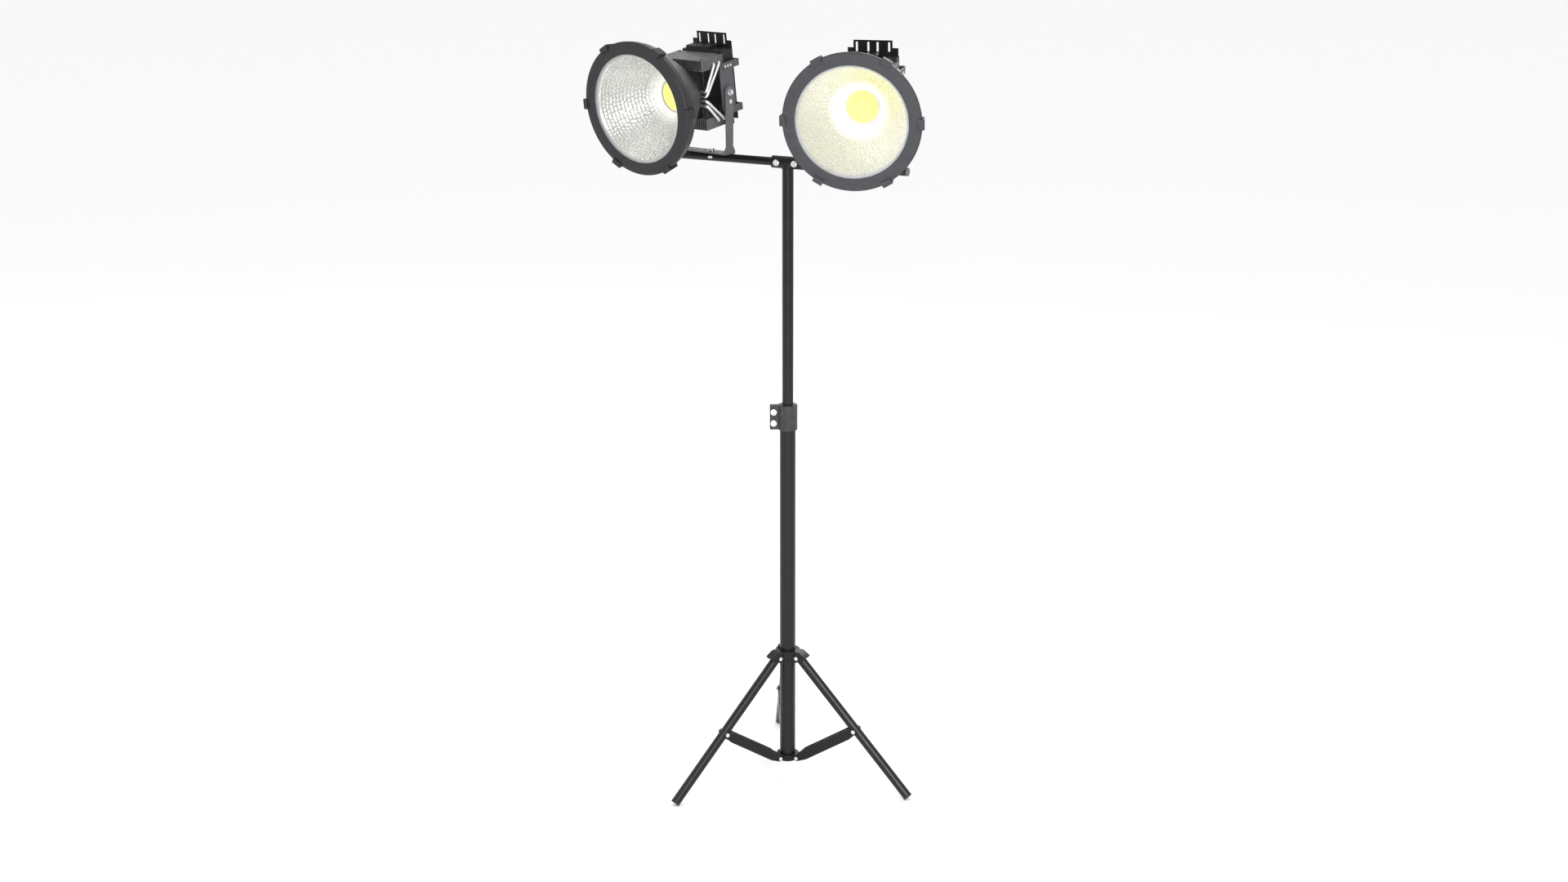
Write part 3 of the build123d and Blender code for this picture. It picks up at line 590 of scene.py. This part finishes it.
def pipe_corners():
    """The bends of the four heat pipes on one side."""
    routes = []
    for z, back, end in PIPE_ROUTES:
        routes.append([
            (PIPE_START, PIPE_FRONT, z), (PIPE_SIDE, PIPE_FRONT, z),
            (PIPE_SIDE, back, end), (PIPE_END, back, end),
        ])
    return routes


def heat_pipe_mesh():
    """All eight heat pipes in the lamp's frame, four and their mirror images."""
    parts = []
    for corners in pipe_corners():
        for flip in (1, -1):
            path = bent_path([(x * flip, y, z) for x, y, z in corners], PIPE_BEND)
            parts.append(swept(path, PIPE_R))
    return joined(parts)


def lamp_pieces(label, looks):
    """One lamp's detailed pieces, each in place of the CAD node that it stands for."""
    matrix, body = head_matrix(label), f"{label}_head"
    made = []

    points, faces = looks["bowl"]
    sheet = looks["reflector"][label]
    bowl = link_mesh(f"{label}_hammered_reflector", placed(points, matrix), faces, sheet)
    made.append((sharpened(bowl, 50), "reflector", "reflector_metal"))

    ring = rounded(
        [
            (GLASS_R, 0.2), (GLASS_R + 5, 0.0), (RING_R - 5, 0.8), (RING_R, 5),
            (RING_R - 4, RING_DEEP), (RING_R - 6.4, RING_DEEP), (RING_R - 2.6, 6.2),
            (RING_R - 5, 3.2), (GLASS_R, 3.0),
        ],
        [1.2, 2.0, 3.0, 4.0, 0.8, 0.8, 2.0, 1.0, 0.6], 5,
    )
    ring = lathe(f"{label}_bezel_ring", ring, looks["ring"][label], matrix)
    made.append((ring, "bezel", "ring_plastic"))

    wall, neck, hole, back, lip = 2.0, 82.0, BOARD_R + 0.5, HOUSING_BACK, RING_DEEP + 0.3
    shell = rounded(
        [
            (RING_R - 4, lip), (RING_R - 8, 34), (RING_R - 12, 46), (RING_R - 25, 62),
            (neck, back), (hole, back), (hole, back - wall), (neck - 1, back - wall),
            (RING_R - 27.2, 61), (RING_R - 14.4, 45.2), (RING_R - 10.2, 33.6), (RING_R - 6.3, lip),
        ],
        [0.8, 6, 10, 16, 2, 0.6, 0.6, 1, 14, 9, 6, 0.6], 5,
    )
    shell = lathe(f"{label}_housing_shell", shell, looks["shell"], matrix)
    made.append((shell, "housing", "shell_aluminium"))

    seal = [(GLASS_R - 6, 7.5), (RING_R - 8, 7.5), (RING_R - 8, 10.5), (GLASS_R - 6, 10.5)]
    seal = rounded(seal, [1.2, 0.5, 0.5, 1.2], 4)
    seal = lathe(f"{label}_seal_ring", seal, looks["seal"], matrix)
    made.append((seal, "gasket", "seal"))

    front, soft = BOARD_FRONT, 0.6
    board = [(0, front), (BOARD_R - soft, front), (BOARD_R, front + soft)]
    board += [(BOARD_R, HOUSING_BACK), (0, HOUSING_BACK)]
    carrier = disc(f"{label}_led_carrier", board, looks["board"], matrix)
    dam = [(COB_R, front), (COB_R, front - 1.5), (COB_R + 1, front - 1.8), (COB_R + 1, front)]
    dam = rounded(dam, 0.3, 3)
    rim = lathe(f"{label}_led_dam", dam, looks["board"], matrix, 96)
    angles, top = np.linspace(0.08, math.pi / 2, 12), front - 1.4
    dome = [(0, top - 1)] + [(COB_R * math.sin(t), top - math.cos(t)) for t in angles]
    dome += [(COB_R, front), (0, front)]
    gel = disc(f"{label}_led_phosphor", dome, looks["phosphor"], matrix)
    made += [(carrier, "led_board", "phosphor"), (rim, None, "seal"), (gel, None, "phosphor")]

    points, faces = looks["pipes"]
    pipes = link_mesh(f"{label}_bent_heat_pipes", placed(points, matrix), faces, looks["pipe"])
    made.append((sharpened(pipes), "heat_pipes", "pipe_metal"))

    for piece, node, slot in made:
        if node:
            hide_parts(f"{label}_{node}")
        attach(piece, body)


# ---------------------------------------------------------------- CAD nodes that stay
def dressed(node, material, bevel_mm=0.0):
    """Gives a CAD node its material, and soft edges by modifiers."""
    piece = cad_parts[node]
    piece.data.materials.clear()
    piece.data.materials.append(material)
    if bevel_mm:
        weld = piece.modifiers.new("Weld", "WELD")
        weld.merge_threshold = WELD_DISTANCE
        bevel = piece.modifiers.new("Bevel", "BEVEL")
        bevel.width, bevel.segments = bevel_mm * MM, BEVEL_SEGMENTS
        bevel.limit_method, bevel.angle_limit = "ANGLE", math.radians(BEVEL_ANGLE)
        weighted = piece.modifiers.new("Weighted", "WEIGHTED_NORMAL")
        weighted.mode, weighted.weight = "FACE_AREA", 50


def dressed_screws(label, black, bright):
    """Black tie bolts, with bright screws on the straps outside the side plates."""
    node = f"{label}_head_screws"
    dressed(node, black, 0.35)
    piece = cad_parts[node]
    piece.data.materials.append(bright)
    to_lamp = head_matrix(label).inverted() @ piece.matrix_world
    for face in piece.data.polygons:
        if abs((to_lamp @ face.center).x) > SIDE_PLATE_OUT:
            face.material_index = 1


def dressed_brace(number, paint, zinc):
    """Painted strips with zinc bolt heads outside them. The braces stand 120 degrees apart."""
    node = f"brace_{number}"
    dressed(node, paint, 0.6)
    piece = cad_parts[node]
    piece.data.materials.append(zinc)
    turn = Matrix.Rotation(math.radians(-120 * (number - 1)), 4, "Z") @ piece.matrix_world
    for face in piece.data.polygons:
        if abs((turn @ face.center).y) > BRACE_OUT * MM:
            face.material_index = 1


def main():
    make_camera()
    make_studio()
    black = (0.009, 0.0092, 0.0097)
    paint = powder_coat("stand_paint", black, 0.28, dust=0.003, worn=0.5, specular=0.2)
    gloss = powder_coat(
        "tube_paint", black, 0.26, peel_mm=5.0, depth=0.006, dust=0.002, specular=0.15, coat=0.2
    )
    collar = powder_coat("collar_paint", (0.030, 0.0303, 0.031), 0.42, worn=0.4)
    bracket = powder_coat(
        "bracket_paint", (0.068, 0.069, 0.074), 0.45,
        peel_mm=1.2, dust=0.008, worn=0.35, specular=0.25,
    )
    yoke = powder_coat(
        "yoke_paint", (0.10, 0.101, 0.106), 0.45, peel_mm=1.2, depth=0.03, worn=0.35
    )
    plate = powder_coat(
        "plate_paint", (0.006, 0.0061, 0.0065), 0.4, peel_mm=1.2, dust=0.003, specular=0.2
    )
    zinc = plated("zinc_plate", (0.80, 0.81, 0.83), 0.22)
    black_screw = plated("black_oxide", (0.05, 0.05, 0.052), 0.36)
    plastic = moulded("black_plastic", (0.012, 0.012, 0.0125), 0.45)
    grey_plastic = moulded("cap_plastic", (0.10, 0.10, 0.105), 0.5)
    rubber = moulded("foot_rubber", (0.014, 0.014, 0.0142), 0.72, grain_mm=1.4, depth=0.1)
    # One plastic in two copies: the left ring's darker colour is painted shade, the right's lighter
    # is painted light
    ring = {
        "left": moulded(
            "ring_plastic", (0.0205, 0.021, 0.0232), 0.5, grain_mm=0.9, depth=0.05, specular=0.22
        ),
        "right": moulded(
            "ring_plastic_lit_copy", (0.041, 0.042, 0.0465), 0.5,
            grain_mm=0.9, depth=0.05, specular=0.25,
        ),
    }
    shell = powder_coat(
        "shell_finish", (0.0125, 0.0128, 0.0145), 0.45, peel_mm=1.4, dust=0.003, specular=0.2
    )
    core = powder_coat(
        "core_finish", (0.006, 0.006, 0.0065), 0.5, peel_mm=1.4, depth=0.03, dust=0.002
    )
    fins = anodised_fins("fin_finish")
    case = moulded("driver_case", (0.012, 0.012, 0.0135), 0.5, specular=0.25)
    chip = {label: head_matrix(label) @ Vector((0, SOURCE_BACK, 0)) for label in LAMPS}
    # One reflector sheet in two copies: the left one's darker tint is painted shade, the right
    # one's paler, milkier tint is painted light
    shaded_tint, lit_tint = (0.66, 0.657, 0.645), (0.69, 0.684, 0.64)
    looks = {
        "reflector": {
            "left": hammered_metal("hammered_shaded_copy", shaded_tint, 0.2, chip["left"], 52, 84),
            "right": hammered_metal("hammered_lit_copy", lit_tint, 0.36, chip["right"], 60, 96),
        },
        "ring": ring,
        "shell": shell,
        "seal": moulded("seal_rubber", (0.40, 0.405, 0.415), 0.5, grain_mm=0.9, depth=0.03),
        "board": moulded("board_mask", (0.86, 0.86, 0.84), 0.4),
        "phosphor": phosphor("led_phosphor"),
        "pipe": plated(
            "pipe_plate", (0.82, 0.82, 0.81), 0.33, tint=(0.74, 0.73, 0.71), depth=0.003, swing=0.04
        ),
        "bowl": reflector_mesh(BOWL_ROWS, BOWL_AROUND, DIMPLE_PITCH, BOWL_SEED),
        "pipes": heat_pipe_mesh(),
    }
    glass = clear_glass("cover_glass")

    for node in ("lower_tube", "upper_tube", "crossbar", "leg_tube_1", "leg_tube_2", "leg_tube_3"):
        dressed(node, gloss)
    for node in ("lower_hub", "leg_hub", "t_joint"):
        dressed(node, paint, 0.6)
    for number in (1, 2, 3):
        dressed_brace(number, paint, zinc)
    dressed("clamp_collar", collar, 0.8)
    for node in ("lower_hub_pins", "collar_bolts", "leg_hub_pins", "t_joint_bolts", "yoke_bolts"):
        dressed(node, zinc, 0.4)
    for node in ("mast_bush", "mast_guide", "hub_lock_knob"):
        dressed(node, plastic, 0.5)
    dressed("bar_caps", grey_plastic, 0.6)
    for node in ("foot_cap_1", "foot_cap_2", "foot_cap_3"):
        dressed(node, rubber, 0.8)
    for label in LAMPS:
        dressed(f"{label}_yoke", yoke, 0.6)
        dressed(f"{label}_bezel_clips", ring[label], 0.7)
        dressed(f"{label}_rear_frame", bracket, 0.5)
        dressed(f"{label}_rear_plate", plate, 0.5)
        dressed(f"{label}_driver_box", case, 0.8)
        dressed(f"{label}_heat_core", core, 0.5)
        dressed(f"{label}_fin_stacks", fins)
        dressed(f"{label}_lens", glass)
        for node in ("pivot_bolts", "tilt_lock_screws"):
            dressed(f"{label}_{node}", zinc, 0.35)
        dressed_screws(label, black_screw, zinc)
        lamp_pieces(label, looks)


main()
